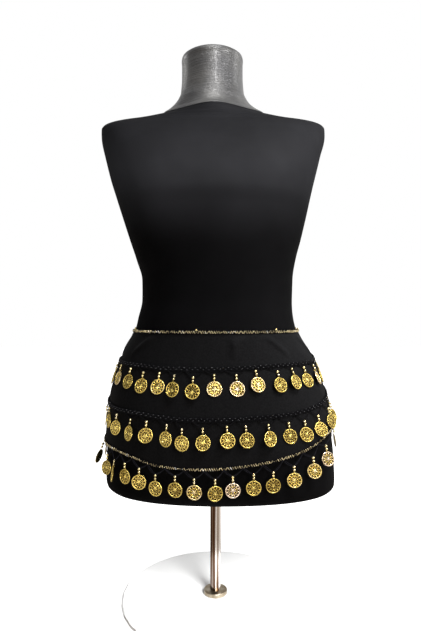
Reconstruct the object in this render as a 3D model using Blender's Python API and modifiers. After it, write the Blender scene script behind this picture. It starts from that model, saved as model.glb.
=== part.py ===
"""Belly dance belt on a limbless dress form.

A crescent-cut crepe hip scarf goes round the hips of a display torso and is tied at the back.
A beaded edging runs along its top edge. Three rows of coins hang from it on beaded loops:
two from bands sewn across the cloth and one from the band along the hem.
The torso has a hard neck above and stands on a chrome pole with a round base plate.

Frame: +Z is up, the wearer faces -Y, and the origin is the middle of the base plate's underside.
Angles round the body are in degrees, 0 at the front and growing towards +X.
"""

import math
from collections import namedtuple

import bmesh
import bpy
from mathutils import Vector

MM = 0.001
GAP = 0.3 * MM

# Stand
PLATE_RADIUS = 140 * MM
PLATE_THICK = 8 * MM
PLATE_EDGE = 2 * MM
FLANGE_RADIUS = 17.5 * MM
FLANGE_THICK = 6 * MM
FLANGE_EDGE = 0.8 * MM
POLE_RADIUS = 8 * MM
POLE_IN_TORSO = 30 * MM
ROUND_SIDES = 32

# Torso and neck, as horizontal sections in mm. shift moves a section sideways, half is its half
# width, corner squares or narrows it between front and side, and dip lowers its front and
# raises its back.
BodySection = namedtuple("BodySection", "height shift half front back corner dip")
TORSO = [
    BodySection(172.5, 8.5, 156, 93, 99, 0.1, 0),
    BodySection(174.5, 8.3, 164.5, 99, 106, 0.1, 0),
    BodySection(179, 7.6, 169, 102.5, 110, 0.09, 0),
    BodySection(187, 7, 170, 105, 112.5, 0.09, 0),
    BodySection(225, 6.5, 168.5, 108, 118, 0.09, 0),
    BodySection(253, 5.8, 166, 110, 121, 0.09, 0),
    BodySection(277, 4.5, 163, 110, 121, 0.08, 0),
    BodySection(312, 3.6, 157.5, 108, 115, 0.07, 0),
    BodySection(339, 3, 150.5, 105, 108, 0.06, 0),
    BodySection(371, 1.9, 138, 100, 96, 0.05, 0),
    BodySection(395, 0.5, 125, 97, 89, 0.05, 0),
    BodySection(407, 0.2, 119.8, 95.7, 85, 0.05, 0),
    BodySection(420, 0.1, 116.5, 95, 82, 0.05, 0),
    BodySection(450, 2.2, 112, 93.5, 78, 0.05, 0),
    BodySection(480, 2.6, 112.5, 94.5, 78, 0.05, 0),
    BodySection(509, 0.7, 118.7, 97, 80, 0.06, 0),
    BodySection(539, -0.4, 127.6, 100, 85, 0.07, 0),
    BodySection(575, -2, 137.5, 108, 90.5, 0.09, 0),
    BodySection(598, -3.2, 143.5, 117, 94, 0.1, 0),
    BodySection(628, -4.3, 151.6, 118.5, 98, 0.12, 0),
    BodySection(659, -4.4, 159.2, 113, 101, 0.14, 2),
    BodySection(690, -3.7, 166.4, 94, 98, 0.12, 6),
    BodySection(704, -3.8, 167, 84, 93, 0.07, 10),
    BodySection(710, -3.8, 164.2, 79, 88, 0.03, 13),
    BodySection(714.5, -3.8, 157.7, 75, 83, 0, 15),
    BodySection(718.5, -3.8, 146, 72, 77, -0.05, 16),
    BodySection(722, -3.8, 124, 70, 70, -0.1, 16),
    BodySection(727, -3.5, 98, 67, 62, -0.2, 14),
    BodySection(732, -3, 75, 63, 54, -0.35, 7.8),
]
NECK = [
    BodySection(732.3, -3, 75, 63, 54, -0.35, 7.8),
    BodySection(737, -4, 66.5, 57, 52, -0.25, 6.5),
    BodySection(743, -4.8, 57.5, 52, 50, -0.1, 4.5),
    BodySection(750, -4.8, 51.5, 49.5, 48.5, 0, 2.5),
    BodySection(760, -4.8, 47.5, 47.5, 47, 0, 0),
    BodySection(787, -4.8, 45.7, 46, 46, 0, 0),
    BodySection(803, -4.8, 45.7, 46, 46, 0, 0),
    BodySection(808, -4.8, 46.2, 46.5, 46.5, 0, 0),
    BodySection(812, -4.8, 45.6, 46, 46, 0, 0),
    BodySection(814, -4.8, 43, 43.3, 43.3, 0, 0),
]
TORSO_SIDES = 32
NECK_SIDES = 28
HIP_LOW = 187 * MM

# Belt cloth. Its middle is turned by BELT_TURN degrees, and side is the angle measured from there.
BELT_TOP = 405.5 * MM
BELT_TURN = -10
BELT_END = 172
CLOTH_THICK = 1.2 * MM
CLOTH_OFF_TOP = 0.6 * MM
CLOTH_OFF_HEM = 2.4 * MM
CLOTH_COLUMNS = 68
TOP_PANEL_STEPS = 3
LOWER_PANEL_STEPS = 2

# Depths in mm below the belt's top edge of the two sewn bands and of the hem. lift raises the
# top edge towards the tied ends.
BeltLine = namedtuple("BeltLine", "side lift row_1 row_2 hem")
BELT = [
    BeltLine(-172, 8, 22, 32, 44),
    BeltLine(-162, 6, 28, 49, 75),
    BeltLine(-150, 3, 30, 62, 100.5),
    BeltLine(-130, 0, 35, 79, 126.5),
    BeltLine(-110, 0, 40, 92, 144.5),
    BeltLine(-90, 0, 43, 99, 156),
    BeltLine(-70, 0, 45.5, 105, 161.5),
    BeltLine(-45, 0, 47.5, 109.5, 165),
    BeltLine(-30, 0, 48.5, 110.5, 170.5),
    BeltLine(-17, 0, 50.5, 113.5, 178),
    BeltLine(0, 0, 50.5, 115.5, 180.5),
    BeltLine(12, 0, 50, 115, 178.5),
    BeltLine(25, 0, 48.8, 113.5, 174),
    BeltLine(42, 0, 47, 111, 165),
    BeltLine(55, 0, 46.3, 107.5, 156),
    BeltLine(70, 0, 45.4, 102.5, 145.5),
    BeltLine(90, 0, 43, 93.5, 138.5),
    BeltLine(110, 0, 37, 82.5, 127.5),
    BeltLine(130, 0, 29, 70, 113.5),
    BeltLine(150, 3, 27, 54, 92.5),
    BeltLine(162, 6, 25, 45, 70),
    BeltLine(172, 8, 22, 32, 44),
]

# Soft creases in the cloth. Each is a ridge between two points given as side and depth, with its
# height and half width in mm.
Crease = namedtuple("Crease", "side_a depth_a side_b depth_b height width")
CREASES = [
    Crease(-31, 6, -46, 30, 3, 4.5),
    Crease(26, 6, 19, 20, 1.8, 4.5),
    Crease(20, 10, 18, 32, 2, 5),
    Crease(42, 8, 52, 30, 2.4, 5),
    Crease(74, 8, 88, 34, 2, 6),
    Crease(-84, 8, -70, 36, 1.8, 6),
    Crease(-112, 4, -98, 32, 1.8, 7),
    Crease(-60, 62, -74, 96, 0.8, 9),
    Crease(58, 60, 76, 90, 0.8, 9),
    Crease(112, 4, 100, 30, 1.8, 7),
    Crease(-172, 30, -158, 62, 2.2, 6),
    Crease(-172, 18, -156, 20, 2, 5),
    Crease(172, 30, 158, 58, 2.2, 6),
    Crease(172, 16, 156, 18, 2, 5),
]
CREASE_MM_PER_DEGREE = 2.4
CREASE_REACH = 0.7
CREASE_FADE = 6 * MM
FLAT_STRIP = 5 * MM

# Bands that the coin loops hang from, and the edging along the top
BAND_OFF = 0.6 * MM
BAND_THICK = 1.6 * MM
BAND_TALL = 4 * MM
EDGING_RISE = 1.5 * MM
EDGING_TALL = 5.5 * MM
EDGING_THICK = 2 * MM
EDGING_COLUMNS = 76

# Coins and beads
COIN_RADIUS = 10.5 * MM
COIN_THICK = 1 * MM
COIN_SIDES = 8
BEAD_HALF = 1.5 * MM
BEAD_PITCH = 3.4 * MM
THREAD_HALF = 0.45 * MM
COIN_LINK = 1.6 * MM
LOOP_OFF = 2 * MM
COIN_CLEAR = 0.6 * MM
COIN_PITCH = 25.5 * MM
BAND_END_MARGIN = 1
TURN_SHARE = 0.9
# Longest stretch of a band, in degrees, that still keeps to the cloth's curve
BAND_STEP = 10

# A row gives the loops' depth, the sides where its band starts and ends, and the coins that
# show at the front: where each hangs, how much lower than the rest, and how far it is turned.
Row = namedtuple("Row", "name line loop start end coins")
Coin = namedtuple("Coin", "side drop turn")
ROWS = [
    Row("coin_row_1", "row_1", 5, -155, 153, [
        Coin(-55.5, -3, 0), Coin(-42, -2, 0), Coin(-30.5, 1, 0), Coin(-20, -1, 0),
        Coin(-11.5, 1, 17), Coin(-2, 3, 10), Coin(8, 0, 0), Coin(18.5, 1, 0),
        Coin(28.5, -3, -8), Coin(40.5, 0, -8), Coin(50.5, -2, -14), Coin(61, -2, 5), Coin(74, -2, -10),
    ]),
    Row("coin_row_2", "row_2", 7, -126, 120, [
        Coin(-58.5, -5, 0), Coin(-46, -2, -8), Coin(-33.5, 0, 20), Coin(-23.5, -1, -12),
        Coin(-13, -1, 22), Coin(-6, 3, 12), Coin(3, 1, -20), Coin(13, -1, -9),
        Coin(21, 0, -8), Coin(31, 0, -21), Coin(41.5, 1, 0), Coin(51, 3, 10),
        Coin(62, 2.5, 18), Coin(77, 3, 20), Coin(86.5, 3, 20),
    ]),
    Row("coin_row_3", "hem", 10.5, -162, 162, [
        Coin(-86, -3, -12), Coin(-68, -7.5, 30), Coin(-53.5, -1, -16), Coin(-44, 1, 32), Coin(-36, -1, 5),
        Coin(-26.5, -2, -12), Coin(-18, -1, 9), Coin(-9, -3, 7), Coin(-1, -1, 0),
        Coin(7.5, 0, -14), Coin(14.5, -2, -7), Coin(23, -1, 0), Coin(31.5, 1, 0),
        Coin(41.5, 1, 12), Coin(53, 0, 21), Coin(64.5, -3, 21), Coin(96, 0, 0),
    ]),
]

# Knot at the back, as sections in mm across it from one end of the cloth to the other. side is
# in degrees from the middle of the back, and off is the distance from the torso.
KnotSection = namedtuple("KnotSection", "side middle tall thick off")
KNOT = [
    KnotSection(-7.65, 14, 40, 2.6, 1.2),
    KnotSection(-6.6, 15, 42, 9, 1.4),
    KnotSection(-4.6, 16, 45, 18, 1.6),
    KnotSection(-1.8, 16, 48, 25, 2),
    KnotSection(1.8, 16, 48, 25, 2),
    KnotSection(4.6, 16, 45, 18, 1.6),
    KnotSection(6.6, 15, 42, 9, 1.4),
    KnotSection(7.65, 14, 40, 2.6, 1.2),
]
KNOT_SIDES = 14

# Hanging ends below the knot, as sections in mm down the cloth, fold being half its folds' depth
TailSection = namedtuple("TailSection", "depth across wide fold off")
TAIL_THICK = 1.6 * MM
TAIL_FOLDS = 2.5
TAIL_COLUMNS = 12
TAIL_LEFT = [
    TailSection(40.4, -7, 12, 1.2, 14),
    TailSection(55, -11, 19, 3, 11),
    TailSection(85, -17, 28, 4, 9),
    TailSection(125, -22, 36, 4.5, 8),
    TailSection(165, -26, 42, 4.5, 8),
    TailSection(195, -28, 46, 4.5, 8),
]
TAIL_RIGHT = [
    TailSection(40.4, 7, 12, 1.2, 14),
    TailSection(55, 11, 18, 3, 11),
    TailSection(85, 17, 26, 4, 9),
    TailSection(118, 22, 34, 4.5, 8),
    TailSection(148, 27, 40, 4.5, 8),
    TailSection(172, 30, 43, 4.5, 8),
]
TAIL_SLANT = 0.35

COLLECTION_NAME = "belly_dance_belt_on_dress_form"

SHARP_ANGLE = 40

# Materials: colour, roughness, metallic
FINISHES = {
    "cover_jersey": ((0.012, 0.012, 0.014), 0.85, 0.0),
    "pearl_neck": ((0.2, 0.2, 0.21), 0.25, 0.4),
    "chrome": ((0.6, 0.58, 0.56), 0.08, 1.0),
    "white_enamel": ((0.8, 0.8, 0.8), 0.3, 0.0),
    "black_crepe": ((0.02, 0.02, 0.022), 0.75, 0.0),
    "gold_beads": ((0.75, 0.6, 0.32), 0.25, 1.0),
    "gold_coins": ((0.8, 0.62, 0.3), 0.22, 1.0),
}


def clear_scene():
    for item in list(bpy.data.objects):
        bpy.data.objects.remove(item, do_unlink=True)


def make_collection():
    collection = bpy.data.collections.new(COLLECTION_NAME)
    bpy.context.scene.collection.children.link(collection)
    return collection


def make_material(name):
    colour, roughness, metallic = FINISHES[name]
    material = bpy.data.materials.get(name) or bpy.data.materials.new(name)
    material.use_nodes = True
    shader = material.node_tree.nodes["Principled BSDF"]
    shader.inputs["Base Color"].default_value = (*colour, 1.0)
    shader.inputs["Roughness"].default_value = roughness
    shader.inputs["Metallic"].default_value = metallic
    return material


def add_mesh(name, mesh_builder, finish, collection):
    """Turn a bmesh into a named, smooth-shaded object with faces pointing out."""
    bmesh.ops.recalc_face_normals(mesh_builder, faces=mesh_builder.faces)
    if mesh_builder.calc_volume(signed=True) < 0:
        bmesh.ops.reverse_faces(mesh_builder, faces=mesh_builder.faces)
    mesh = bpy.data.meshes.new(name)
    mesh_builder.to_mesh(mesh)
    mesh_builder.free()
    mesh.shade_smooth()
    mesh.set_sharp_from_angle(angle=math.radians(SHARP_ANGLE))
    mesh.materials.append(make_material(finish))
    piece = bpy.data.objects.new(name, mesh)
    collection.objects.link(piece)
    return piece


def smooth_curve(places, values, place):
    """Read a smooth curve through the points, with no overshoot between them."""
    if place <= places[0]:
        return values[0]
    if place >= places[-1]:
        return values[-1]
    index = 0
    while places[index + 1] < place:
        index += 1

    def slope(at):
        if at == 0 or at == len(places) - 1:
            return 0.0
        before = (values[at] - values[at - 1]) / (places[at] - places[at - 1])
        after = (values[at + 1] - values[at]) / (places[at + 1] - places[at])
        if before * after <= 0:
            return 0.0
        return 2 * before * after / (before + after)

    width = places[index + 1] - places[index]
    part = (place - places[index]) / width
    start, end = values[index], values[index + 1]
    bend_in = slope(index) * width
    bend_out = slope(index + 1) * width
    return (start * (1 + 2 * part) * (1 - part) ** 2 + end * part ** 2 * (3 - 2 * part)
            + bend_in * part * (1 - part) ** 2 - bend_out * part ** 2 * (1 - part))


def read_table(table, key, column, place):
    return smooth_curve([getattr(row, key) for row in table],
                        [getattr(row, column) for row in table], place)


def section_point(section, angle):
    """One point of a horizontal body section, angle in radians from the front."""
    across, ahead = math.sin(angle), math.cos(angle)
    depth = section.front if ahead > 0 else section.back
    x = section.shift + section.half * across * (1 + section.corner * ahead ** 2)
    y = -depth * ahead * (1 + section.corner * across ** 2)
    z = section.height - section.dip * ahead
    return Vector((x, y, z)) * MM


def torso_point(angle, height):
    """A point of the torso's smooth surface at a height in metres, where its sections lie level."""
    place = max(height, HIP_LOW) / MM
    columns = [read_table(TORSO, "height", name, place) for name in ("shift", "half", "front", "back", "corner")]
    point = section_point(BodySection(place, *columns, 0), angle)
    point.z = height
    return point


def crease_height(side, depth):
    """How far the creases lift the cloth at one place, in metres."""
    lift = 0.0
    for crease in CREASES:
        run = Vector(((crease.side_b - crease.side_a) * CREASE_MM_PER_DEGREE,
                      crease.depth_b - crease.depth_a))
        here = Vector(((side - crease.side_a) * CREASE_MM_PER_DEGREE, depth / MM - crease.depth_a))
        along = here.dot(run) / run.length_squared
        across = here.cross(run) / run.length / crease.width
        ends = max(1 - ((along - 0.5) / CREASE_REACH) ** 2, 0)
        lift += crease.height * MM * ends * math.exp(-across ** 2)
    return lift


def crease_fade(side, depth):
    """0 under the bands and the edging, where stitching holds the cloth flat, and 1 between them."""
    nearest = depth - FLAT_STRIP
    for line in band_depths(side)[1:]:
        nearest = min(nearest, abs(depth - line + FLAT_STRIP / 2) - FLAT_STRIP / 2)
    share = min(max(nearest / CREASE_FADE, 0.0), 1.0)
    return share * share * (3 - 2 * share)


def band_depths(side):
    return [0.0] + [read_table(BELT, "side", name, side) * MM for name in ("row_1", "row_2", "hem")]


def cloth_point(side, depth, off=0.0):
    """A point off metres outside the cloth's inner face, depth below the belt's top edge."""
    angle = math.radians(side + BELT_TURN)
    lift, hem = (read_table(BELT, "side", name, side) * MM for name in ("lift", "hem"))
    height = BELT_TOP + lift - depth
    share = min(max(depth / hem, 0), 1)
    off += CLOTH_OFF_TOP + (CLOTH_OFF_HEM - CLOTH_OFF_TOP) * share
    if 0 < depth < hem:
        off += crease_height(side, depth) * crease_fade(side, depth)
    return torso_point(angle, height) + outward(angle, height) * off


def outward(angle, height):
    """The torso's horizontal outward direction."""
    step = 0.01
    along = torso_point(angle + step, height) - torso_point(angle - step, height)
    return Vector((along.y, -along.x, 0)).normalized()


def sides_per_metre(side, depth):
    """Degrees round the belt for one metre along it."""
    return 1 / (cloth_point(side + 0.5, depth) - cloth_point(side - 0.5, depth)).length


def loft(mesh_builder, sections, closed=True, skip=()):
    """Join sections of equal count by quads and cap both ends. Returns the sections' vertices."""
    rings = [[mesh_builder.verts.new(point) for point in section] for section in sections]
    count = len(rings[0])
    for row, (ring, following) in enumerate(zip(rings, rings[1:])):
        for column in range(count):
            if (row, column) in skip:
                continue
            beside = (column + 1) % count
            mesh_builder.faces.new((ring[column], ring[beside], following[beside], following[column]))
    if closed:
        mesh_builder.faces.new(rings[0])
        mesh_builder.faces.new(rings[-1])
    return rings


def fan_cap(mesh_builder, ring):
    """Close a bent ring of vertices with triangles from its middle."""
    middle = mesh_builder.verts.new(sum((vert.co for vert in ring), Vector()) / len(ring))
    for column in range(len(ring)):
        mesh_builder.faces.new((ring[column], ring[(column + 1) % len(ring)], middle))


def build_torso(collection):
    angles = [2 * math.pi * index / TORSO_SIDES for index in range(TORSO_SIDES)]
    bottom = TORSO[0].height * MM
    hole = POLE_RADIUS + GAP
    sections = [[Vector((hole * math.sin(angle), -hole * math.cos(angle), height)) for angle in angles]
                for height in (bottom + POLE_IN_TORSO, bottom)]
    sections += [[section_point(section, angle) for angle in angles] for section in TORSO]
    builder = bmesh.new()
    rings = loft(builder, sections, closed=False)
    builder.faces.new(rings[0])
    fan_cap(builder, rings[-1])
    return add_mesh("form_torso", builder, "cover_jersey", collection)


def build_neck(collection):
    angles = [2 * math.pi * index / NECK_SIDES for index in range(NECK_SIDES)]
    builder = bmesh.new()
    rings = loft(builder, [[section_point(section, angle) for angle in angles] for section in NECK],
                 closed=False)
    fan_cap(builder, rings[0])
    builder.faces.new(rings[-1])
    return add_mesh("form_neck", builder, "pearl_neck", collection)


def build_disc(name, radius, bottom, top, edge, finish, collection):
    """A round plate or rod with bevelled rims, standing on the Z axis."""
    builder = bmesh.new()
    bmesh.ops.create_cone(builder, cap_ends=True, segments=ROUND_SIDES, radius1=radius, radius2=radius,
                          depth=top - bottom)
    bmesh.ops.translate(builder, verts=builder.verts, vec=(0, 0, (top + bottom) / 2))
    disc = add_mesh(name, builder, finish, collection)
    if edge:
        bevel = disc.modifiers.new("rim", "BEVEL")
        bevel.width = edge
        bevel.segments = 1
    return disc


def build_stand(collection):
    flange_low = PLATE_THICK + GAP
    flange_high = flange_low + FLANGE_THICK
    pole_top = TORSO[0].height * MM + POLE_IN_TORSO - GAP
    build_disc("base_plate", PLATE_RADIUS, 0, PLATE_THICK, PLATE_EDGE, "white_enamel", collection)
    build_disc("base_flange", FLANGE_RADIUS, flange_low, flange_high, FLANGE_EDGE, "chrome", collection)
    build_disc("pole", POLE_RADIUS, flange_high + GAP, pole_top, 0, "chrome", collection)


def cloth_depths(side):
    """Depths of the cloth's rows of points. The strips under the edging and the bands stay flat."""
    top, *lines = band_depths(side)
    depths = [top]
    upper = top + FLAT_STRIP
    steps = TOP_PANEL_STEPS
    for line in lines:
        flat = line - FLAT_STRIP
        depths += [upper + (flat - upper) * step / steps for step in range(steps + 1)]
        upper = line
        steps = LOWER_PANEL_STEPS
    return depths + [upper]


def build_cloth(collection):
    sections = []
    for column in range(CLOTH_COLUMNS + 1):
        side = -BELT_END + 2 * BELT_END * column / CLOTH_COLUMNS
        depths = cloth_depths(side)
        outer = [cloth_point(side, depth, CLOTH_THICK) for depth in depths]
        inner = [cloth_point(side, depth) for depth in reversed(depths)]
        sections.append(outer + inner)
    builder = bmesh.new()
    loft(builder, sections)
    return add_mesh("belt_cloth", builder, "black_crepe", collection)


def band_section(side, low, high, thick):
    """A band's four-cornered section outside the cloth, from its lower to its upper depth."""
    near = CLOTH_THICK + BAND_OFF
    far = near + thick
    corners = ((high, near), (low, near), (low, far), (high, far))
    return [cloth_point(side, depth, off) for depth, off in corners]


def build_edging(collection):
    reach = BELT_END - 0.5
    sections = []
    for column in range(EDGING_COLUMNS + 1):
        side = -reach + 2 * reach * column / EDGING_COLUMNS
        sections.append(band_section(side, EDGING_TALL - EDGING_RISE, -EDGING_RISE, EDGING_THICK))
    builder = bmesh.new()
    loft(builder, sections)
    return add_mesh("top_edging", builder, "gold_beads", collection)


def coin_sides(row):
    """All the coins of a row: the named ones at the front, then evenly spaced ones to both ends."""
    coins = list(row.coins)
    for direction, limit in ((1, row.end), (-1, row.start)):
        side = coins[-1].side if direction > 0 else coins[0].side
        while True:
            depth = read_table(BELT, "side", row.line, side) * MM
            pitch = COIN_PITCH * sides_per_metre(side, depth)
            side += direction * pitch
            if abs(side) + pitch / 2 > abs(limit) - BAND_END_MARGIN:
                break
            coins.insert(len(coins) if direction > 0 else 0, Coin(side, 0, 0))
    return coins


def ring_at(centre, along, out, half_along, half_out):
    """Four corners round a thread or bead, in the order of a band's underside."""
    return [centre - along * half_along - out * half_out, centre - along * half_along + out * half_out,
            centre + along * half_along + out * half_out, centre + along * half_along - out * half_out]


def bridge(builder, upper, lower):
    for index in range(4):
        beside = (index + 1) % 4
        builder.faces.new((upper[index], upper[beside], lower[beside], lower[index]))


def seat_coin(coin, coin_top, centre, flat, up, out):
    """Move a coin's centre out until its whole back is clear of the cloth that it hangs against."""
    degrees = sides_per_metre(coin.side, coin_top)
    lift = 0.0
    for across in (-0.9, -0.45, 0, 0.45, 0.9):
        for down in (0, 0.5, 1, 1.5, 2):
            behind = cloth_point(coin.side + across * COIN_RADIUS * degrees,
                                 coin_top + down * COIN_RADIUS, CLOTH_THICK)
            face = centre + flat * across * COIN_RADIUS + up * (1 - down) * COIN_RADIUS
            lift = max(lift, (behind - face).dot(out))
    return centre + out * (lift + COIN_THICK / 2 + COIN_CLEAR)


def hang_coin(builder, row, coin, left_feet, right_feet):
    """Two thread legs from the band, two beads and a coin, all in one skin.

    Each foot is the four vertices of a hole in the band's underside, in ring_at's order.
    """
    line = read_table(BELT, "side", row.line, coin.side) * MM
    angle = math.radians(coin.side + BELT_TURN)
    turn = math.radians(coin.turn)
    loop = line + (row.loop + coin.drop) * MM
    centre_depth = loop + 2 * BEAD_PITCH + COIN_LINK + COIN_RADIUS
    push = COIN_RADIUS * abs(math.sin(turn)) * TURN_SHARE

    def place(depth, off):
        share = (depth - line) / (centre_depth - line)
        return cloth_point(coin.side, depth, CLOTH_THICK + off + push * share)

    face_out = outward(angle, BELT_TOP - loop)
    along = Vector((0, 0, 1)).cross(face_out)
    knot_top = ring_at(place(loop - THREAD_HALF, LOOP_OFF), along, face_out, 2 * THREAD_HALF, THREAD_HALF)
    knot_low = ring_at(place(loop + THREAD_HALF, LOOP_OFF), along, face_out, THREAD_HALF, THREAD_HALF)
    top = [builder.verts.new(point) for point in knot_top]
    low = [builder.verts.new(point) for point in knot_low]
    middle_in = builder.verts.new((top[0].co + top[3].co) / 2)
    middle_out = builder.verts.new((top[1].co + top[2].co) / 2)
    bridge(builder, left_feet, [top[0], top[1], middle_out, middle_in])
    bridge(builder, right_feet, [middle_in, middle_out, top[2], top[3]])
    builder.faces.new((top[0], top[1], low[1], low[0]))
    builder.faces.new((top[1], middle_out, top[2], low[2], low[1]))
    builder.faces.new((top[2], top[3], low[3], low[2]))
    builder.faces.new((top[3], middle_in, top[0], low[0], low[3]))

    turned = math.cos(turn) * along + math.sin(turn) * face_out
    turned_out = math.cos(turn) * face_out - math.sin(turn) * along
    for bead in range(2):
        for at, half in ((bead + 0.5, BEAD_HALF), (bead + 1, THREAD_HALF)):
            corners = ring_at(place(loop + at * BEAD_PITCH, LOOP_OFF), turned, turned_out, half, half)
            ring = [builder.verts.new(point) for point in corners]
            bridge(builder, low, ring)
            low = ring

    coin_top = loop + 2 * BEAD_PITCH + COIN_LINK
    high = place(coin_top, 0)
    deep = place(coin_top + 2 * COIN_RADIUS, 0)
    up = (high - deep).normalized()
    turned_out = turned.cross(up).normalized()
    centre = seat_coin(coin, coin_top, high - up * COIN_RADIUS, turned, up, face_out)
    faces = []
    for half in (-COIN_THICK / 2, COIN_THICK / 2):
        ring = []
        for index in range(COIN_SIDES):
            around = 2 * math.pi * (index + 0.5) / COIN_SIDES
            flat = turned * math.sin(around) + up * math.cos(around)
            ring.append(builder.verts.new(centre + flat * COIN_RADIUS + turned_out * half))
        faces.append(ring)
    back, front = faces
    bridge(builder, low, [back[-1], front[-1], front[0], back[0]])
    for index in range(COIN_SIDES - 1):
        builder.faces.new((back[index], back[index + 1], front[index + 1], front[index]))
    builder.faces.new(back)
    builder.faces.new(front)


def build_coin_row(row, collection):
    """A sewn band with its beaded loops and coins, as one closed body."""
    coins = coin_sides(row)
    sides = [coin.side for coin in coins]
    # Neighbouring loops share a root on the band, half way between their coins.
    roots = [(left + right) / 2 for left, right in zip(sides, sides[1:])]
    roots = [2 * sides[0] - roots[0]] + roots + [2 * sides[-1] - roots[-1]]

    sections = [row.start]
    feet = []
    for root, side in zip(roots, sides + [row.end]):
        line = read_table(BELT, "side", row.line, root) * MM
        foot = 2 * THREAD_HALF * sides_per_metre(root, line)
        if root - foot - sections[-1] > BAND_STEP:
            sections.append((root + sections[-1]) / 2)
        feet.append(len(sections))
        sections += [root - foot, root, root + foot]
        if side - root > BAND_STEP:
            sections.append((root + side) / 2)
        sections.append(side)

    def band_at(side):
        line = read_table(BELT, "side", row.line, side) * MM
        return band_section(side, line, line - BAND_TALL, BAND_THICK)

    # Corner 1 to corner 2 of a section is the band's underside, left open where a leg starts.
    holes = set()
    for index, foot in enumerate(feet):
        if index > 0:
            holes.add((foot, 1))
        if index < len(coins):
            holes.add((foot + 1, 1))
    builder = bmesh.new()
    rings = loft(builder, [band_at(side) for side in sections], skip=holes)
    for index, coin in enumerate(coins):
        left = feet[index] + 1
        right = feet[index + 1]
        left_feet = [rings[left][1], rings[left][2], rings[left + 1][2], rings[left + 1][1]]
        right_feet = [rings[right][1], rings[right][2], rings[right + 1][2], rings[right + 1][1]]
        hang_coin(builder, row, coin, left_feet, right_feet)
    return add_mesh(row.name, builder, "gold_coins", collection)


def build_knot(collection):
    sections = []
    for section in KNOT:
        side = 180 + section.side
        ring = []
        for index in range(KNOT_SIDES):
            around = 2 * math.pi * index / KNOT_SIDES
            depth = (section.middle - section.tall / 2 * math.cos(around)) * MM
            off = section.off * MM + section.thick / 2 * MM * (1 + math.sin(around))
            ring.append(back_point(side, depth, off))
        sections.append(ring)
    builder = bmesh.new()
    loft(builder, sections)
    return add_mesh("belt_knot", builder, "black_crepe", collection)


def back_point(side, depth, off):
    """A point outside the torso behind the knot, where the cloth itself has ended."""
    angle = math.radians(side + BELT_TURN)
    height = BELT_TOP - depth
    return torso_point(angle, height) + outward(angle, height) * off


def build_tail(name, sections, slant, collection):
    """A hanging end: a pleated strip whose lower end is cut at a slant."""
    angle = math.radians(180 + BELT_TURN)
    across = Vector((0, 0, 1)).cross(-outward(angle, BELT_TOP))
    rings = []
    for section in sections:
        height = BELT_TOP - section.depth * MM
        centre = torso_point(angle, height) + across * section.across * MM
        out = outward(angle, height)
        share = (section.depth - sections[0].depth) / (sections[-1].depth - sections[0].depth)
        front, back = [], []
        for column in range(TAIL_COLUMNS + 1):
            part = column / TAIL_COLUMNS
            fold = section.fold * MM * math.sin(2 * math.pi * TAIL_FOLDS * part)
            drop = Vector((0, 0, -slant * part * share ** 3 * section.wide * MM))
            point = centre + across * (part - 0.5) * section.wide * MM + out * (section.off * MM + fold) + drop
            back.append(point - out * TAIL_THICK / 2)
            front.append(point + out * TAIL_THICK / 2)
        rings.append(front + back[::-1])
    builder = bmesh.new()
    loft(builder, rings)
    return add_mesh(name, builder, "black_crepe", collection)


def main():
    clear_scene()
    collection = make_collection()
    build_stand(collection)
    build_torso(collection)
    build_neck(collection)
    build_cloth(collection)
    build_edging(collection)
    for row in ROWS:
        build_coin_row(row, collection)
    build_knot(collection)
    build_tail("belt_tail_left", TAIL_LEFT, TAIL_SLANT, collection)
    build_tail("belt_tail_right", TAIL_RIGHT, -TAIL_SLANT, collection)


main()
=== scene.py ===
"""Looks of the belly dance belt on its limbless dress form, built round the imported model.

Lengths in tables are in mm, and angles round the body in degrees, 0 at the front and growing
towards +X. The shapes repeat the values of the CAD source, so each piece sits where its node is.
"""

import math
from collections import namedtuple

import bpy
import numpy as np
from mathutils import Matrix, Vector


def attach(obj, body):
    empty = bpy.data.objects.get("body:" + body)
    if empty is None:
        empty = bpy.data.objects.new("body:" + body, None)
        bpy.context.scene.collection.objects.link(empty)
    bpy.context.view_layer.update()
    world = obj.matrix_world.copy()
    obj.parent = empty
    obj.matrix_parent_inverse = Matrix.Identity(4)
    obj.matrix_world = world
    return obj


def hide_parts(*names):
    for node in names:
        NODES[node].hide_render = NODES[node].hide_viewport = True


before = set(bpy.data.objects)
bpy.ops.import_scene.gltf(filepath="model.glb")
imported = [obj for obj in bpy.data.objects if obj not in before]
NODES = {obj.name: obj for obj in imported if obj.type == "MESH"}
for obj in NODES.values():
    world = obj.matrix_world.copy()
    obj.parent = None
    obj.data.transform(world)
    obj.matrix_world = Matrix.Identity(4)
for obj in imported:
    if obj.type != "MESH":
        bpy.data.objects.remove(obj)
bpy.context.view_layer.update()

MM = 0.001
UP = np.array((0.0, 0.0, 1.0))

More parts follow.
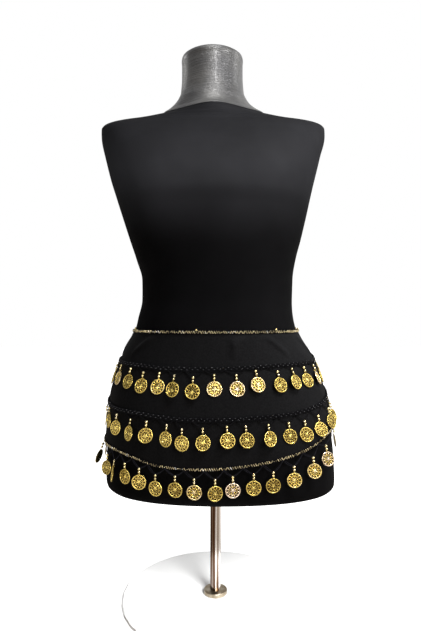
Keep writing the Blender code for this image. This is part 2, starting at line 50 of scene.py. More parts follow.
# Levels of the torso and neck. dip lowers a level's front and raises its back.
Level = namedtuple("Level", "height shift half front back corner dip")
TORSO = [
    Level(172.5, 8.5, 156, 93, 99, 0.1, 0),
    Level(174.5, 8.3, 164.5, 99, 106, 0.1, 0),
    Level(179, 7.6, 169, 102.5, 110, 0.09, 0),
    Level(187, 7, 170, 105, 112.5, 0.09, 0),
    Level(225, 6.5, 168.5, 108, 118, 0.09, 0),
    Level(253, 5.8, 166, 110, 121, 0.09, 0),
    Level(277, 4.5, 163, 110, 121, 0.08, 0),
    Level(312, 3.6, 157.5, 108, 115, 0.07, 0),
    Level(339, 3, 150.5, 105, 108, 0.06, 0),
    Level(371, 1.9, 138, 100, 96, 0.05, 0),
    Level(395, 0.5, 125, 97, 89, 0.05, 0),
    Level(407, 0.2, 119.8, 95.7, 85, 0.05, 0),
    Level(420, 0.1, 116.5, 95, 82, 0.05, 0),
    Level(450, 2.2, 112, 93.5, 78, 0.05, 0),
    Level(480, 2.6, 112.5, 94.5, 78, 0.05, 0),
    Level(509, 0.7, 118.7, 97, 80, 0.06, 0),
    Level(539, -0.4, 127.6, 100, 85, 0.07, 0),
    Level(575, -2, 137.5, 108, 90.5, 0.09, 0),
    Level(598, -3.2, 143.5, 117, 94, 0.1, 0),
    Level(628, -4.3, 151.6, 118.5, 98, 0.12, 0),
    Level(659, -4.4, 159.2, 113, 101, 0.14, 2),
    Level(690, -3.7, 166.4, 94, 98, 0.12, 6),
    Level(704, -3.8, 167, 84, 93, 0.07, 10),
    Level(710, -3.8, 164.2, 79, 88, 0.03, 13),
    Level(714.5, -3.8, 157.7, 75, 83, 0, 15),
    Level(718.5, -3.8, 146, 72, 77, -0.05, 16),
    Level(722, -3.8, 124, 70, 70, -0.1, 16),
    Level(727, -3.5, 98, 67, 62, -0.2, 14),
    Level(732, -3, 75, 63, 54, -0.35, 7.8),
]
NECK = [
    Level(732.3, -3, 75, 63, 54, -0.35, 7.8),
    Level(737, -4, 66.5, 57, 52, -0.25, 6.5),
    Level(743, -4.8, 57.5, 52, 50, -0.1, 4.5),
    Level(750, -4.8, 51.5, 49.5, 48.5, 0, 2.5),
    Level(760, -4.8, 47.5, 47.5, 47, 0, 0),
    Level(787, -4.8, 45.7, 46, 46, 0, 0),
    Level(803, -4.8, 45.7, 46, 46, 0, 0),
    Level(808, -4.8, 46.2, 46.5, 46.5, 0, 0),
    Level(812, -4.8, 45.6, 46, 46, 0, 0),
    Level(814, -4.8, 43, 43.3, 43.3, 0, 0),
]
HIP_LOW = 187

# Belt cloth
BELT_TOP = 405.5
BELT_TURN = -10
BELT_END = 172
CLOTH_THICK = 1.2
CLOTH_OFF_TOP = 0.6
CLOTH_OFF_HEM = 2.4
BeltLine = namedtuple("BeltLine", "side lift row_1 row_2 hem")
BELT = [
    BeltLine(-172, 8, 22, 32, 44),
    BeltLine(-162, 6, 28, 49, 75),
    BeltLine(-150, 3, 30, 62, 100.5),
    BeltLine(-130, 0, 35, 79, 126.5),
    BeltLine(-110, 0, 40, 92, 144.5),
    BeltLine(-90, 0, 43, 99, 156),
    BeltLine(-70, 0, 45.5, 105, 161.5),
    BeltLine(-45, 0, 47.5, 109.5, 165),
    BeltLine(-30, 0, 48.5, 110.5, 170.5),
    BeltLine(-17, 0, 50.5, 113.5, 178),
    BeltLine(0, 0, 50.5, 115.5, 180.5),
    BeltLine(12, 0, 50, 115, 178.5),
    BeltLine(25, 0, 48.8, 113.5, 174),
    BeltLine(42, 0, 47, 111, 165),
    BeltLine(55, 0, 46.3, 107.5, 156),
    BeltLine(70, 0, 45.4, 102.5, 145.5),
    BeltLine(90, 0, 43, 93.5, 138.5),
    BeltLine(110, 0, 37, 82.5, 127.5),
    BeltLine(130, 0, 29, 70, 113.5),
    BeltLine(150, 3, 27, 54, 92.5),
    BeltLine(162, 6, 25, 45, 70),
    BeltLine(172, 8, 22, 32, 44),
]
Crease = namedtuple("Crease", "side_a depth_a side_b depth_b height width")
CREASES = [
    Crease(-31, 6, -46, 30, 3, 4.5),
    Crease(26, 6, 19, 20, 1.8, 4.5),
    Crease(20, 10, 18, 32, 2, 5),
    Crease(42, 8, 52, 30, 2.4, 5),
    Crease(74, 8, 88, 34, 2, 6),
    Crease(-84, 8, -70, 36, 1.8, 6),
    Crease(-112, 4, -98, 32, 1.8, 7),
    Crease(-60, 62, -74, 96, 0.8, 9),
    Crease(58, 60, 76, 90, 0.8, 9),
    Crease(112, 4, 100, 30, 1.8, 7),
    Crease(-172, 30, -158, 62, 2.2, 6),
    Crease(-172, 18, -156, 20, 2, 5),
    Crease(172, 30, 158, 58, 2.2, 6),
    Crease(172, 16, 156, 18, 2, 5),
]
CREASE_MM_PER_DEGREE = 2.4
CREASE_REACH = 0.7
CREASE_FADE = 6
FLAT_STRIP = 5

# Bands and loops
BAND_TALL = 4
BRAID_BELOW = 2
COIN_RADIUS = 10.5
COIN_OUTER = 10.1
COIN_RIM = 0.75
COIN_THICK = 1
BEAD_PITCH = 3.4
DROP_SIZES = (1.85, 1.7)
DROP_DEPTHS = (1.2, 5.3)
COIN_LINK = 1.6
LOOP_THREAD = 0.38
LOOP_OFF = 2
COIN_CLEAR = 0.6
COIN_PITCH = 25.5
TURN_SHARE = 0.9
BAND_END_MARGIN = 1
BEAD_THREAD = 0.3
COIN_THREAD = 0.45
THREAD_END = 1.2
LOOP_LEAN = 0.38
LOOP_SAGS = (0.82, 0.48)

# Braid of the sewn bands. Its stitches: depth below the band's top, slant, and shift in degrees
BRAID_STITCHES = ((0.9, 1, 0), (2.3, -1, 0.3), (3.4, 1, 0))
BRAID_PITCH = 1.7
GLASS_PITCH = 3.6
GLASS_RISES = (3.2, 0.8)
GLASS_SIZE = 0.95

# Edgings: the seed beads' brightness wanders along the edge, between two limits
STITCH_PITCH = 3.0
STITCH_OFF = 1.1
SEED_SIZE = 0.74
SEED_SLANT = 0.75
SEED_SPREAD = 0.27
SEED_BRIGHT = (0.4, 1.05)
SEED_FIRST = 0.7
SEED_WANDER = 0.16
STANDING_BEADS = (-160, -135, -112, -88, -58, -2, 50, 84, 108, 133, 158)
STANDING_RISE = 2.2
STANDING_SIZE = 1.5

# Relief of a coin
COIN_SIDES = 36
COIN_PEARLS = 12
PEARL_REACH = 7.3
RING_REACH = 5.6
FIELD_REACH = 9.4
STAR_RAYS = 5
STAR_REACH = 5.2
STAR_WAIST = 1.7
DOT_REACH = 3.9

# Each coin at the front: where it hangs, how much lower than the rest, and how far it is turned
Row = namedtuple("Row", "name line loop start end coins")
Coin = namedtuple("Coin", "side drop turn")
ROWS = [
    Row("coin_row_1", "row_1", 5, -155, 153, [
        Coin(-55.5, -3, 0), Coin(-42, -2, 0), Coin(-30.5, 1, 0), Coin(-20, -1, 0),
        Coin(-11.5, 1, 17), Coin(-2, 3, 10), Coin(8, 0, 0), Coin(18.5, 1, 0),
        Coin(28.5, -3, -8), Coin(40.5, 0, -8), Coin(50.5, -2, -14), Coin(61, -2, 5), Coin(74, -2, -10),
    ]),
    Row("coin_row_2", "row_2", 7, -126, 120, [
        Coin(-58.5, -5, 0), Coin(-46, -2, -8), Coin(-33.5, 0, 20), Coin(-23.5, -1, -12),
        Coin(-13, -1, 22), Coin(-6, 3, 12), Coin(3, 1, -20), Coin(13, -1, -9),
        Coin(21, 0, -8), Coin(31, 0, -21), Coin(41.5, 1, 0), Coin(51, 3, 10),
        Coin(62, 2.5, 18), Coin(77, 3, 20), Coin(86.5, 3, 20),
    ]),
    Row("coin_row_3", "hem", 10.5, -162, 162, [
        Coin(-86, -3, -12), Coin(-68, -7.5, 30), Coin(-53.5, -1, -16), Coin(-44, 1, 32), Coin(-36, -1, 5),
        Coin(-26.5, -2, -12), Coin(-18, -1, 9), Coin(-9, -3, 7), Coin(-1, -1, 0),
        Coin(7.5, 0, -14), Coin(14.5, -2, -7), Coin(23, -1, 0), Coin(31.5, 1, 0),
        Coin(41.5, 1, 12), Coin(53, 0, 21), Coin(64.5, -3, 21), Coin(96, 0, 0),
    ]),
]

# Arcs of the cover below the neckline, and rings of its underside: share of the edge's size, and rise
Fold = namedtuple("Fold", "height rise spread")
NECKLINE_FOLDS = [
    Fold(728.5, 3, 1.4),
    Fold(723, 3.6, 1.5),
    Fold(717, 3.2, 1.8),
    Fold(709, 2.4, 2.4),
]
FOLD_SLOPE = 0.7
UNDERSIDE = ((0.35, 1.6), (0.6, 1.2), (0.85, 0.6), (0.97, 0.15))
COVER_TOP_SHIFT = -4

# Knot at the back, as sections across it, and the two ends hanging below it. side is in degrees
# from the middle of the back, off the distance from the torso, and fold half the folds' depth.
KnotCut = namedtuple("KnotCut", "side middle tall thick off")
KNOT = [
    KnotCut(-7.65, 14, 40, 2.6, 1.2),
    KnotCut(-6.6, 15, 42, 9, 1.4),
    KnotCut(-4.6, 16, 45, 18, 1.6),
    KnotCut(-1.8, 16, 48, 25, 2),
    KnotCut(1.8, 16, 48, 25, 2),
    KnotCut(4.6, 16, 45, 18, 1.6),
    KnotCut(6.6, 15, 42, 9, 1.4),
    KnotCut(7.65, 14, 40, 2.6, 1.2),
]
KNOT_PLEATS = 11
WRAP_HALF = 3.1
WRAP_RISE = 1.5
WRAP_WAVE = 0.7
GROOVE_AT = 3.3
GROOVE_WIDTH = 0.45
GROOVE_DEPTH = 1.3
TailCut = namedtuple("TailCut", "depth across wide fold off")
TAIL_THICK = 1.3
TAIL_FOLDS = 2.5
TAIL_SLANT = 0.35
TAIL_HEM = 2.4
TAIL_LEFT = [
    TailCut(40.4, -7, 12, 1.2, 14),
    TailCut(55, -11, 19, 3, 11),
    TailCut(85, -17, 28, 4, 9),
    TailCut(125, -22, 36, 4.5, 8),
    TailCut(165, -26, 42, 4.5, 8),
    TailCut(195, -28, 46, 4.5, 8),
]
TAIL_RIGHT = [
    TailCut(40.4, 7, 12, 1.2, 14),
    TailCut(55, 11, 18, 3, 11),
    TailCut(85, 17, 26, 4, 9),
    TailCut(118, 22, 34, 4.5, 8),
    TailCut(148, 27, 40, 4.5, 8),
    TailCut(172, 30, 43, 4.5, 8),
]

# Tints of the coins, from dark to light gold. The paler ones are named by row and place.
COIN_TINTS = (0.68, 1.06)
PALE_COINS = {
    ("coin_row_1", -55.5): 1.42,
    ("coin_row_1", -20): 1.3,
    ("coin_row_1", 8): 1.42,
    ("coin_row_1", 18.5): 1.5,
    ("coin_row_1", 28.5): 1.4,
    ("coin_row_1", 74): 1.5,
    ("coin_row_3", -1): 1.4,
    ("coin_row_3", 14.5): 1.7,
    ("coin_row_3", 41.5): 1.3,
    ("coin_row_3", 53): 1.35,
    ("coin_row_3", 64.5): 1.55,
}

# Camera: solved from the photograph
CAMERA_PLACE = (-0.0076, -0.778, 0.4268)
CAMERA_LENS = 29.38
CAMERA_SENSOR = 36

SHARP_ANGLE = 45
NO_QUADS = np.zeros((0, 4), int)
NO_TRIS = np.zeros((0, 3), int)


# Shapes

def slopes(places, values):
    """Slopes of a smooth curve through the points that never overshoots."""
    result = np.zeros(len(places))
    for at in range(1, len(places) - 1):
        before = (values[at] - values[at - 1]) / (places[at] - places[at - 1])
        after = (values[at + 1] - values[at]) / (places[at + 1] - places[at])
        if before * after > 0:
            result[at] = 2 * before * after / (before + after)
    return result


def smooth_curve(places, values, place):
    place = np.clip(place, places[0], places[-1])
    index = np.clip(np.searchsorted(places, place, side="left") - 1, 0, len(places) - 2)
    width = places[index + 1] - places[index]
    part = (place - places[index]) / width
    slope = slopes(places, values)
    return (values[index] * (1 + 2 * part) * (1 - part) ** 2 + values[index + 1] * part ** 2 * (3 - 2 * part)
            + slope[index] * width * part * (1 - part) ** 2
            - slope[index + 1] * width * part ** 2 * (1 - part))


def read_table(table, key, column, place):
    places = np.array([getattr(row, key) for row in table], float)
    values = np.array([getattr(row, column) for row in table], float)
    return smooth_curve(places, values, place)


def belt_line(name, side):
    return read_table(BELT, "side", name, side)


def body_points(table, place, angle):
    """Points in mm of a body at nominal heights and angles in radians."""
    shift, half, front, back, corner, dip = (
        read_table(table, "height", name, place)
        for name in ("shift", "half", "front", "back", "corner", "dip"))
    across, ahead = np.sin(angle), np.cos(angle)
    depth = np.where(ahead > 0, front, back)
    x = shift + half * across * (1 + corner * ahead ** 2)
    y = -depth * ahead * (1 + corner * across ** 2)
    return np.stack(np.broadcast_arrays(x, y, place - dip * ahead), -1)


def torso_point(angle, height):
    point = body_points(TORSO, np.maximum(height, HIP_LOW), angle)
    point[..., 2] = height
    return point


def unit(vector):
    """A vector, or each of several, at a length of 1."""
    return vector / np.linalg.norm(vector, axis=-1, keepdims=True)


def outward(angle, height):
    step = 0.01
    along = torso_point(angle + step, height) - torso_point(angle - step, height)
    return unit(np.stack((along[..., 1], -along[..., 0], np.zeros_like(along[..., 0])), -1))


def crease_height(side, depth):
    lift = 0.0
    for crease in CREASES:
        run_x = (crease.side_b - crease.side_a) * CREASE_MM_PER_DEGREE
        run_y = crease.depth_b - crease.depth_a
        here_x = (side - crease.side_a) * CREASE_MM_PER_DEGREE
        here_y = depth - crease.depth_a
        length = math.hypot(run_x, run_y)
        along = (here_x * run_x + here_y * run_y) / length ** 2
        across = (here_x * run_y - here_y * run_x) / length / crease.width
        ends = np.maximum(1 - ((along - 0.5) / CREASE_REACH) ** 2, 0)
        lift = lift + crease.height * ends * np.exp(-across ** 2)
    return lift


def crease_fade(side, depth):
    nearest = depth - FLAT_STRIP
    for name in ("row_1", "row_2", "hem"):
        line = belt_line(name, side)
        nearest = np.minimum(nearest, np.abs(depth - line + FLAT_STRIP / 2) - FLAT_STRIP / 2)
    share = np.clip(nearest / CREASE_FADE, 0.0, 1.0)
    return share * share * (3 - 2 * share)


def cloth_point(side, depth, off=0.0):
    """Points in mm, off mm outside the cloth's inner face and depth mm below the belt's top edge."""
    side, depth = np.broadcast_arrays(np.asarray(side, float), np.asarray(depth, float))
    angle = np.radians(side + BELT_TURN)
    lift = belt_line("lift", side)
    hem = belt_line("hem", side)
    height = BELT_TOP + lift - depth
    share = np.clip(depth / hem, 0, 1)
    folds = np.where((depth > 0) & (depth < hem), crease_height(side, depth) * crease_fade(side, depth), 0)
    off = off + CLOTH_OFF_TOP + (CLOTH_OFF_HEM - CLOTH_OFF_TOP) * share + folds
    return torso_point(angle, height) + outward(angle, height) * off[..., None]


def sides_per_mm(side, depth):
    return 1 / np.linalg.norm(cloth_point(side + 0.5, depth) - cloth_point(side - 0.5, depth))


class Cluster:
    """Gathers small meshes in mm into one piece, with a tint for each point."""

    def __init__(self):
        self.points, self.quads, self.tris, self.tints = [], [], [], []
        self.count = 0

    def add(self, shape, basis=None, origin=None, tint=1.0):
        points, quads, tris, tints = shape
        if basis is not None:
            points = points @ np.asarray(basis)
        if origin is not None:
            points = points + origin
        self.points.append(points)
        self.quads.append(quads + self.count)
        self.tris.append(tris + self.count)
        self.tints.append(tints * tint)
        self.count += len(points)

    def shape(self):
        return (np.concatenate(self.points), np.concatenate(self.quads), np.concatenate(self.tris),
                np.concatenate(self.tints))


def turns(count):
    """Angles in radians, evenly spaced round a full turn."""
    return np.arange(count) * 2 * math.pi / count


def grid(points, wrap=False, cap_ends=False):
    """A mesh over a grid of points, closed round its second direction if wrap is set."""
    rows, columns = points.shape[:2]
    index = np.arange(rows * columns).reshape(rows, columns)
    if wrap:
        index = np.concatenate((index, index[:, :1]), 1)
    quads = np.stack((index[:-1, :-1], index[:-1, 1:], index[1:, 1:], index[1:, :-1]), -1).reshape(-1, 4)
    flat = points.reshape(-1, 3)
    tris = NO_TRIS
    if cap_ends:
        middles = np.stack((points[0].mean(0), points[-1].mean(0)))
        low, high = len(flat), len(flat) + 1
        flat = np.concatenate((flat, middles))
        first, last = index[0], index[-1]
        tris = np.concatenate((
            np.stack((first[1:], first[:-1], np.full(len(first) - 1, low)), -1),
            np.stack((last[:-1], last[1:], np.full(len(last) - 1, high)), -1)))
    return flat, quads, tris, np.ones(len(flat))


def ball(rings, sides):
    """A ball of radius 1 with its poles along Z."""
    rise, turn = np.meshgrid(np.linspace(0, math.pi, rings + 1)[1:-1], turns(sides), indexing="ij")
    points = np.stack((np.sin(rise) * np.cos(turn), np.sin(rise) * np.sin(turn), -np.cos(rise)), -1)
    flat, quads, tris, tints = grid(points, wrap=True, cap_ends=True)
    flat[-2:] = ((0, 0, -1), (0, 0, 1))
    return flat, quads, tris, tints


def torus(major, across, high, sides, section):
    """A ring in the XY plane, with an oval section."""
    turn, around = np.meshgrid(turns(sides), turns(section), indexing="ij")
    reach = major + across * np.cos(around)
    points = np.stack((reach * np.cos(turn), reach * np.sin(turn), high * np.sin(around)), -1)
    points = np.concatenate((points, points[:1]), 0)
    flat, quads, _, _ = grid(points, wrap=True)
    kept = sides * section
    quads = np.where(quads >= kept, quads - kept, quads)
    return flat[:kept], quads[:, ::-1], NO_TRIS, np.ones(kept)


def tube(path, radius, sides=6):
    """A thread along a path, with closed ends."""
    path = np.asarray(path, float)
    along = unit(np.gradient(path, axis=0))
    normals = []
    normal = UP if abs(along[0][2]) < 0.8 else np.array((1.0, 0, 0))
    for direction in along:
        normal = unit(normal - direction * normal.dot(direction))
        normals.append(normal)
    normals = np.array(normals)
    beside = np.cross(along, normals)
    around = turns(sides)[:, None]
    points = path[:, None] + radius * (np.cos(around) * normals[:, None] + np.sin(around) * beside[:, None])
    return grid(points, wrap=True, cap_ends=True)


BEAD = ball(7, 10)
SMALL_BEAD = ball(5, 7)
STITCH = ball(5, 6)


def make_piece(name, shape, material, replaced=()):
    """Make an object from a shape in mm, smooth-shaded, riding on the one body."""
    points, quads, tris, tints = shape
    mesh = bpy.data.meshes.new(name)
    corners = np.concatenate((quads.ravel(), tris.ravel()))
    totals = np.concatenate((np.full(len(quads), 4), np.full(len(tris), 3)))
    mesh.vertices.add(len(points))
    mesh.vertices.foreach_set("co", (points * MM).ravel())
    mesh.loops.add(len(corners))
    mesh.loops.foreach_set("vertex_index", corners)
    mesh.polygons.add(len(totals))
    mesh.polygons.foreach_set("loop_start", np.concatenate(([0], np.cumsum(totals)[:-1])))
    mesh.polygons.foreach_set("loop_total", totals)
    mesh.update(calc_edges=True)
    tint = mesh.attributes.new("tint", "FLOAT", "POINT")
    tint.data.foreach_set("value", tints.astype(np.float32))
    mesh.shade_smooth()
    mesh.set_sharp_from_angle(angle=math.radians(SHARP_ANGLE))
    mesh.materials.append(material)
    piece = bpy.data.objects.new(name, mesh)
    bpy.context.scene.collection.objects.link(piece)
    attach(piece, "root")
    if replaced:
        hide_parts(*replaced)
    return piece


# Materials

class Nodes:
    """Short helpers for a node tree."""

    def __init__(self, tree):
        self.tree = tree

    def node(self, kind, inputs=None, **settings):
        """A node with its inputs linked to sockets or set to values."""
        made = self.tree.nodes.new(kind)
        for key, value in settings.items():
            setattr(made, key, value)
        for key, value in (inputs or {}).items():
            if isinstance(value, bpy.types.NodeSocket):
                self.tree.links.new(value, made.inputs[key])
            else:
                made.inputs[key].default_value = value
        return made

    def combined(self, operation, first, second):
        return self.node("ShaderNodeMath", {0: first, 1: second}, operation=operation).outputs[0]

    def between(self, value, low, high, start=0.0, end=1.0, **settings):
        return self.node("ShaderNodeMapRange", {
            "Value": value, "From Min": low, "From Max": high, "To Min": start, "To Max": end,
        }, **settings).outputs["Result"]

    def mix(self, factor, first, second):
        """A colour between two, each given as a socket or as three numbers."""
        first, second = ((*colour, 1) if isinstance(colour, tuple) else colour for colour in (first, second))
        return self.node("ShaderNodeMix", {0: factor, 6: first, 7: second}, data_type="RGBA").outputs[2]


class Material(Nodes):
    """A material whose colour, roughness and height wander with noise."""

    def __init__(self, name, colour, roughness, metallic=0.0, **settings):
        self.made = bpy.data.materials.new(name)
        self.made.use_nodes = True
        super().__init__(self.made.node_tree)
        self.shader = self.tree.nodes["Principled BSDF"]
        self.shader.inputs["Base Color"].default_value = (*colour, 1)
        self.shader.inputs["Roughness"].default_value = roughness
        self.shader.inputs["Metallic"].default_value = metallic
        for key, value in settings.items():
            self.shader.inputs[key.replace("_", " ")].default_value = value
        self.place = self.node("ShaderNodeTexCoord").outputs["Object"]

    def noise(self, scale, detail=3.0, stretch=(1, 1, 1)):
        spread = self.node("ShaderNodeMapping", {"Vector": self.place, "Scale": stretch})
        return self.node("ShaderNodeTexNoise", {
            "Vector": spread.outputs[0], "Scale": scale, "Detail": detail,
        }).outputs["Fac"]

    def set(self, name, value):
        self.tree.links.new(value, self.shader.inputs[name])

    def mottled(self, scale, first, second, detail=3.0, low=0.35, high=0.65):
        return self.mix(self.between(self.noise(scale, detail), low, high), first, second)

    def set_roughness(self, scale, low, high, stretch=(1, 1, 1)):
        self.set("Roughness", self.between(self.noise(scale, 3.0, stretch), 0.3, 0.7, low, high))

    def bump(self, height, distance, strength=1.0, before=None):
        inputs = {"Height": height, "Distance": distance, "Strength": strength}
        if before is not None:
            inputs["Normal"] = before
        return self.node("ShaderNodeBump", inputs).outputs[0]


def jersey():
    """Stretched matt jersey: fine ribs of knit stitches and slow unevenness."""
    made = Material("cover_jersey", (0.006, 0.006, 0.007), 0.8, Specular_IOR_Level=0.03)
    made.set("Base Color", made.mottled(9, (0.004, 0.004, 0.0045), (0.006, 0.006, 0.0068)))
    made.set_roughness(40, 0.68, 0.82)
    knit = made.noise(1400, 1, (1, 1, 0.4))
    slow = made.noise(26, 2, (1, 1, 1.6))
    made.set("Normal", made.bump(knit, 0.0002, 0.6, made.bump(slow, 0.0012, 0.35)))
    return made.made


def crepe():
    """Dull crinkled crepe with a soft sheen."""
    made = Material("black_crepe", (0.008, 0.008, 0.009), 0.62, Sheen_Weight=0.003, Sheen_Roughness=0.45,
                    Specular_IOR_Level=0.04)
    made.set("Base Color", made.mottled(500, (0.0068, 0.0068, 0.0075), (0.0105, 0.0105, 0.0114)))
    made.set_roughness(30, 0.55, 0.7)
    crinkle = made.noise(900, 2, (1, 1, 0.5))
    slow = made.noise(34, 2)
    made.set("Normal", made.bump(crinkle, 0.0003, 0.7, made.bump(slow, 0.0015, 0.3)))
    return made.made


def pearl():
    """Sprayed pearl-grey gloss with faint level brush marks."""
    made = Material("pearl_neck", (0.2, 0.2, 0.21), 0.3, 0.75, Coat_Weight=0.15, Coat_Roughness=0.12)
    spray = made.mottled(25, (0.18, 0.18, 0.185), (0.24, 0.237, 0.232), 4)
    height = made.node("ShaderNodeSeparateXYZ", {"Vector": made.place}).outputs["Z"]
    rim = made.between(height, 0.8112, 0.8124)
    made.set("Base Color", made.mix(rim, spray, (0.05, 0.05, 0.052)))
    made.set_roughness(120, 0.3, 0.46, (1, 1, 6))
    brushed = made.noise(140, 3, (0.3, 0.3, 7))
    uneven = made.bump(made.noise(30, 2, (1, 1, 0.4)), 0.002, 0.35)
    made.set("Normal", made.bump(brushed, 0.0008, 0.8, uneven))
    return made.made


def chrome():
    """Old chrome, with painted reflections: dark brown and pale streaks run along the pole."""
    made = Material("chrome", (0.6, 0.57, 0.53), 0.2, 1.0)
    # Painted reflections: dark brown streaks round the pole stand in for reflected surroundings.
    painted_reflection_streaks = made.between(made.noise(210, 1, (1, 1, 0.015)), 0.4, 0.6)
    fine = made.between(made.noise(420, 1, (1, 1, 0.01)), 0.42, 0.58)
    # The finer streaks, tan to near white, are painted reflections as well.
    pale = made.mix(fine, (0.5, 0.4, 0.28), (0.95, 0.92, 0.9))
    made.set("Base Color", made.mix(painted_reflection_streaks, (0.1, 0.045, 0.02), pale))
    made.set_roughness(200, 0.12, 0.24, (1, 1, 0.05))
    return made.made


def flange_metal():
    """Duller, brownish plating on the flange, mottled at random."""
    made = Material("flange_metal", (0.4, 0.33, 0.24), 0.4, 1.0)
    made.set("Base Color", made.mottled(90, (0.26, 0.2, 0.13), (0.5, 0.44, 0.34)))
    made.set_roughness(150, 0.32, 0.5)
    return made.made


def enamel():
    """White enamel with a faint orange peel."""
    made = Material("white_enamel", (0.88, 0.88, 0.875), 0.45)
    made.set("Base Color", made.mottled(3, (0.875, 0.875, 0.87), (0.885, 0.885, 0.88), low=0.4, high=0.6))
    made.set_roughness(35, 0.4, 0.5)
    made.set("Normal", made.bump(made.noise(300, 2), 0.0001, 0.1))
    return made.made


def tinted_metal(name, dark, light, pale, low, high, dents=0.0):
    """Bright metal that runs from dark through light to pale with the piece's tint."""
    made = Material(name, light, low, 0.95)
    tint = made.node("ShaderNodeAttribute", attribute_name="tint").outputs["Fac"]
    worn = made.between(made.noise(260, 3), 0.3, 0.7, -0.12, 0.12)
    level = made.combined("ADD", tint, worn)
    warm = made.mix(made.between(level, 0.0, 1.1), dark, light)
    made.set("Base Color", made.mix(made.between(level, 1.25, 1.6), warm, pale))
    made.set_roughness(700, low, high)
    if dents:
        made.set("Normal", made.bump(made.noise(650, 2), dents, 1.0))
    return made.made


def thread(name, dark, light):
    """Twisted crochet thread."""
    made = Material(name, dark, 0.6, Specular_IOR_Level=0.03)
    made.set("Base Color", made.mottled(800, dark, light))
    made.set_roughness(500, 0.5, 0.7)
    made.set("Normal", made.bump(made.noise(2500, 1, (1, 1, 0.3)), 0.0002, 0.6))
    return made.made


# Pieces

def cover_points(place, angle):
    """The jersey cover's outside, with the slack arcs below the neckline."""
    points = body_points(TORSO, place, angle)
    front = np.clip(np.cos(angle), 0, 1)
    lift = 0.0
    for fold in NECKLINE_FOLDS:
        lift = lift + fold.rise * np.exp(-((place - fold.height) / fold.spread) ** 2) * front ** 4
    points[..., 2] += lift * FOLD_SLOPE
    points[..., 1] -= lift * FOLD_SLOPE * np.cos(angle)
    return points


def drawn_in(ring, shift, share, rise=0.0):
    """A ring of points drawn in to a share of its size about x = shift, and raised."""
    return (ring - (shift, 0, 0)) * (share, share, 1) + (shift, 0, rise)


def build_cover():
    low, high = TORSO[0].height, TORSO[-1].height
    heights = np.concatenate((
        np.linspace(low, 190, 24), np.linspace(193, 690, 150), np.linspace(691.5, high, 60)))
    place, angle = np.meshgrid(heights, turns(176), indexing="ij")
    points = cover_points(place, angle)
    under = [drawn_in(points[0], TORSO[0].shift, share, rise) for share, rise in UNDERSIDE]
    top = [drawn_in(points[-1], COVER_TOP_SHIFT, share, -0.6) for share in (0.97, 0.9)]
    points = np.concatenate((np.stack(under), points, np.stack(top)))
    return make_piece("cover", grid(points, wrap=True, cap_ends=True), jersey(), ["form_torso"])


def build_neck():
    heights = np.concatenate((
        np.linspace(NECK[0].height, 760, 26), np.linspace(762, 802, 20),
        np.linspace(803, NECK[-1].height, 18)))
    place, angle = np.meshgrid(heights, turns(120), indexing="ij")
    points = body_points(NECK, place, angle)
    top = [drawn_in(points[-1], NECK[-1].shift, share) for share in (0.985, 0.9, 0.5)]
    points = np.concatenate((points, np.stack(top)))
    return make_piece("neck", grid(points, wrap=True, cap_ends=True), pearl(), ["form_neck"])


def build_cloth(material):
    """The belt's cloth as a closed wall. Gives the piece and its cut in metres."""
    side, share = np.meshgrid(np.linspace(-BELT_END, BELT_END, 430), np.linspace(0, 1, 72), indexing="ij")
    depth = share * belt_line("hem", side)
    outer = cloth_point(side, depth, CLOTH_THICK)
    inner = cloth_point(side, depth, 0)[:, ::-1]
    points = np.concatenate((outer, inner), 1)
    flat, quads, tris, tints = grid(points, wrap=True)
    ends = []
    columns = points.shape[1]
    half = columns // 2
    for row, flip in ((0, 1), (points.shape[0] - 1, -1)):
        first = row * columns + np.arange(half)
        second = row * columns + columns - 1 - np.arange(half)
        ends.append(np.stack((first[:-1], second[:-1], second[1:], first[1:]), -1)[:, ::-flip])
    shape = (flat, np.concatenate((quads, *ends)), tris, tints)
    piece = make_piece("scarf_cloth", shape, material, ["belt_cloth"])
    return piece, flat_cut((outer + cloth_point(side, depth, 0)) / 2)


def build_knot(material):
    """The knot: pleats run into it from both ends of the cloth, and one turn wraps its middle."""
    side, around = np.meshgrid(np.linspace(KNOT[0].side, KNOT[-1].side, 90), turns(96), indexing="ij")
    middle, tall, thick, off = (read_table(KNOT, "side", name, side)
                                for name in ("middle", "tall", "thick", "off"))
    outer = 0.5 + 0.5 * np.sin(around)
    wrapped = 1 / (1 + np.exp((np.abs(side) - WRAP_HALF) * 5))
    pleats = np.cos(KNOT_PLEATS * around + 2 * np.sin(2 * around) + 0.3 * side)
    wrap = WRAP_RISE + WRAP_WAVE * np.cos(2.6 * side + 0.9 * np.sin(around))
    groove = -GROOVE_DEPTH * np.exp(-((np.abs(side) - GROOVE_AT) / GROOVE_WIDTH) ** 2)
    lift = (pleats * (1 - wrapped) + wrap * wrapped + groove) * outer * np.clip(thick / 14, 0, 1)
    depth = middle - (tall / 2 + lift) * np.cos(around)
    off = off + thick / 2 + (thick / 2 + lift) * np.sin(around)
    angle = np.radians(180 + side + BELT_TURN)
    height = BELT_TOP - depth
    points = torso_point(angle, height) + outward(angle, height) * off[..., None]
    return make_piece("scarf_knot", grid(points, wrap=True, cap_ends=True), material, ["belt_knot"])


